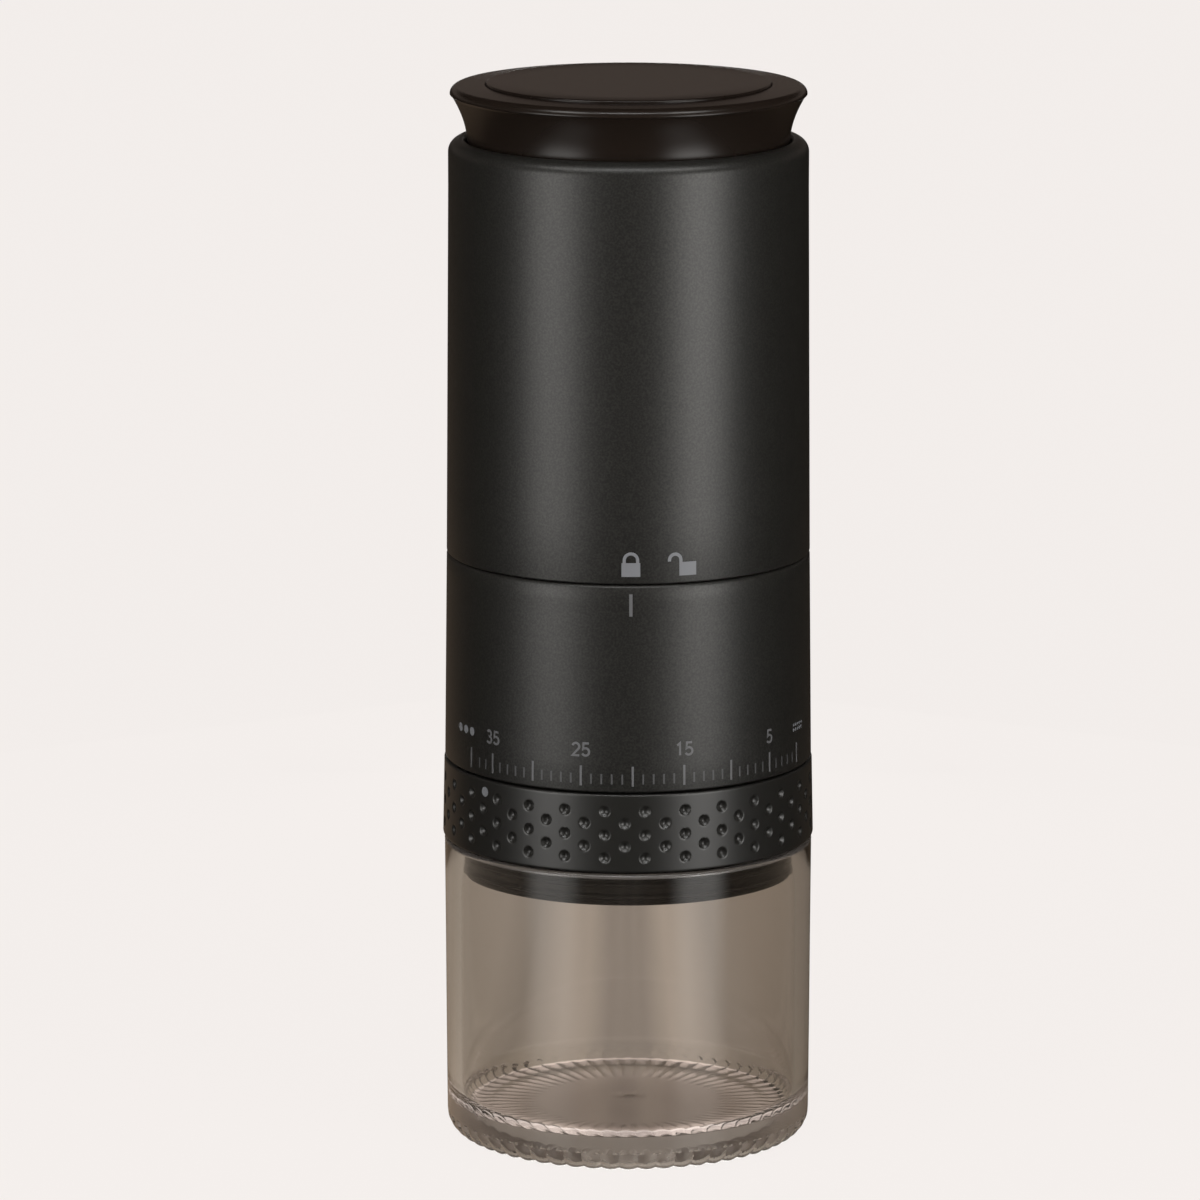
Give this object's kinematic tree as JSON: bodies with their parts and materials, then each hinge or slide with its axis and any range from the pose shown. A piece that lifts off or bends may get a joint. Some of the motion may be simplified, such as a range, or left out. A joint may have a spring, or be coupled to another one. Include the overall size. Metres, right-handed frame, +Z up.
{
  "type": "portable burr coffee grinder",
  "caption": "Slim cylindrical burr coffee grinder: clear catch cup, dimpled adjusting ring, hopper body and a bayonet-locked power unit with a flared cap.",
  "frame": {"origin": "centre of the cup's foot, on the table", "axes": "+Z up along the grinder's axis, -Y towards the front with the padlock marks, +X to the right seen from the front"},
  "size_m": [0.0708, 0.0708, 0.2028],
  "materials": {
    "clear_plastic": "polished, smoky clear copolyester",
    "black_plastic": "moulded, fine texture",
    "seal_rubber": "smooth silicone",
    "screw_steel": "zinc plated",
    "ring_plastic": "moulded, fine spark texture",
    "bearing_steel": "ground",
    "spring_steel": "drawn wire",
    "carrier_aluminium": "turned",
    "burr_steel": "machined and hardened",
    "coupling_plastic": "glass-filled nylon",
    "body_paint": "satin metallic paint, fine grain",
    "brass": "turned",
    "carrier_steel": "sintered",
    "gear_plastic": "acetal",
    "gearbox_plastic": "glass-filled nylon",
    "motor_steel": "drawn, nickel plated",
    "magnet_black": "ground ferrite",
    "rotor_copper": "wound copper on a laminated core",
    "endcap_plastic": "nylon",
    "cell_sleeve": "shrink sleeve",
    "wire_sleeve": "silicone insulation",
    "board_green": "solder mask",
    "light_guide": "frosted",
    "deck_plastic": "polished",
    "button_rubber": "satin",
    "cap_plastic": "satin, warm black"
  },
  "bodies": {
    "catch_cup": {"cup": "clear_plastic"},
    "grinder_body": {"cup_collar": "black_plastic", "cup_seal": "seal_rubber", "collar_screws": "screw_steel", "chassis": "black_plastic", "click_ball": "bearing_steel", "click_spring": "spring_steel", "lower_bearing": "bearing_steel", "upper_bearing": "bearing_steel", "hopper": "black_plastic", "hopper_screws": "screw_steel", "lower_housing": "body_paint", "bayonet_ring": "black_plastic"},
    "adjuster": {"adjust_ring": "ring_plastic"},
    "burr_lift": {"burr_carrier": "carrier_aluminium", "carrier_pins": "bearing_steel", "carrier_spring": "spring_steel", "outer_burr": "burr_steel", "outer_burr_screws": "screw_steel"},
    "burr_shaft": {"drive_shaft": "bearing_steel", "inner_burr": "burr_steel", "burr_washer": "screw_steel", "burr_nut": "screw_steel", "driven_dog": "coupling_plastic"},
    "lift_seal": {"spigot_seal": "seal_rubber"},
    "power_unit": {"power_base": "black_plastic", "base_screws": "screw_steel", "output_bush": "brass", "gearbox_housing": "gearbox_plastic", "gearbox_screws": "screw_steel", "motor_plate": "motor_steel", "motor_can": "motor_steel", "motor_magnets": "magnet_black", "motor_endcap": "endcap_plastic", "battery_cells": "cell_sleeve", "battery_cradle": "endcap_plastic", "wires": "wire_sleeve", "circuit_board": "board_green", "board_screws": "screw_steel", "push_switch": "black_plastic", "usb_port": "screw_steel", "light_ring": "light_guide", "control_deck": "deck_plastic", "upper_housing": "body_paint"},
    "output_stage": {"output_carrier": "carrier_steel", "driver_dog": "coupling_plastic"},
    "planet_b1": {"planet_b1": "gear_plastic"},
    "planet_b2": {"planet_b2": "gear_plastic"},
    "planet_b3": {"planet_b3": "gear_plastic"},
    "middle_stage": {"stage_carrier": "carrier_steel"},
    "planet_a1": {"planet_a1": "gear_plastic"},
    "planet_a2": {"planet_a2": "gear_plastic"},
    "planet_a3": {"planet_a3": "gear_plastic"},
    "motor_armature": {"motor_rotor": "rotor_copper", "sun_gear": "brass"},
    "button": {"start_button": "button_rubber"},
    "cap": {"cap_shell": "cap_plastic", "cap_disc": "cap_plastic", "cap_seal": "seal_rubber"}
  },
  "joints": [
    {"name": "grinder_lift", "type": "slide", "parent": "catch_cup", "child": "grinder_body", "axis": [0, 0, 1], "range_m": [0, 0.06]},
    {"name": "adjust_turn", "type": "hinge", "parent": "grinder_body", "child": "adjuster", "pos_m": [0, 0, 0.066], "axis": [0, 0, 1], "range_deg": [-6.41, 115.22]},
    {"name": "burr_rise", "type": "slide", "parent": "grinder_body", "child": "burr_lift", "axis": [0, 0, 1], "range_m": [-0.0018, 0.0001], "deforming": ["carrier_spring"]},
    {"name": "burr_spin", "type": "hinge", "parent": "grinder_body", "child": "burr_shaft", "pos_m": [0, 0, 0.08], "axis": [0, 0, 1], "continuous": true},
    {"name": "power_lift", "type": "slide", "parent": "grinder_body", "child": "lift_seal", "axis": [0, 0, 1], "range_m": [0, 0.07]},
    {"name": "power_twist", "type": "hinge", "parent": "lift_seal", "child": "power_unit", "pos_m": [0, 0, 0.1135], "axis": [0, 0, 1], "range_deg": [-16, 0]},
    {"name": "output_spin", "type": "hinge", "parent": "power_unit", "child": "output_stage", "pos_m": [0, 0, 0.11], "axis": [0, 0, 1], "continuous": true},
    {"name": "middle_spin", "type": "hinge", "parent": "power_unit", "child": "middle_stage", "pos_m": [0, 0, 0.117], "axis": [0, 0, 1], "continuous": true},
    {"name": "motor_spin", "type": "hinge", "parent": "power_unit", "child": "motor_armature", "pos_m": [0, 0, 0.14], "axis": [0, 0, 1], "continuous": true},
    {"name": "button_press", "type": "slide", "parent": "power_unit", "child": "button", "axis": [0, 0, -1], "range_m": [0, 0.0012], "stiffness_N_per_m": 800, "springref_m": -0.001},
    {"name": "cap_lift", "type": "slide", "parent": "power_unit", "child": "cap", "axis": [0, 0, 1], "range_m": [0, 0.025]},
    {"name": "planet_b1_spin", "type": "hinge", "parent": "output_stage", "child": "planet_b1", "pos_m": [0.0075, 0, 0.1135], "axis": [0, 0, 1], "continuous": true},
    {"name": "planet_b2_spin", "type": "hinge", "parent": "output_stage", "child": "planet_b2", "pos_m": [-0.00375, 0.0065, 0.1135], "axis": [0, 0, 1], "continuous": true},
    {"name": "planet_b3_spin", "type": "hinge", "parent": "output_stage", "child": "planet_b3", "pos_m": [-0.00375, -0.0065, 0.1135], "axis": [0, 0, 1], "continuous": true},
    {"name": "planet_a1_spin", "type": "hinge", "parent": "middle_stage", "child": "planet_a1", "pos_m": [0.0075, 0, 0.12], "axis": [0, 0, 1], "continuous": true},
    {"name": "planet_a2_spin", "type": "hinge", "parent": "middle_stage", "child": "planet_a2", "pos_m": [-0.00375, 0.0065, 0.12], "axis": [0, 0, 1], "continuous": true},
    {"name": "planet_a3_spin", "type": "hinge", "parent": "middle_stage", "child": "planet_a3", "pos_m": [-0.00375, -0.0065, 0.12], "axis": [0, 0, 1], "continuous": true}
  ],
  "couplings": [
    {"joint": "adjust_turn", "follows": "burr_rise", "rad_per_m": -1117.1},
    {"joint": "output_spin", "follows": "burr_spin", "ratio": 1},
    {"joint": "middle_spin", "follows": "burr_spin", "ratio": 5},
    {"joint": "motor_spin", "follows": "burr_spin", "ratio": 25},
    {"joint": "planet_b1_spin", "follows": "burr_spin", "ratio": -2.6667},
    {"joint": "planet_b2_spin", "follows": "burr_spin", "ratio": -2.6667},
    {"joint": "planet_b3_spin", "follows": "burr_spin", "ratio": -2.6667},
    {"joint": "planet_a1_spin", "follows": "burr_spin", "ratio": -13.333},
    {"joint": "planet_a2_spin", "follows": "burr_spin", "ratio": -13.333},
    {"joint": "planet_a3_spin", "follows": "burr_spin", "ratio": -13.333}
  ]
}
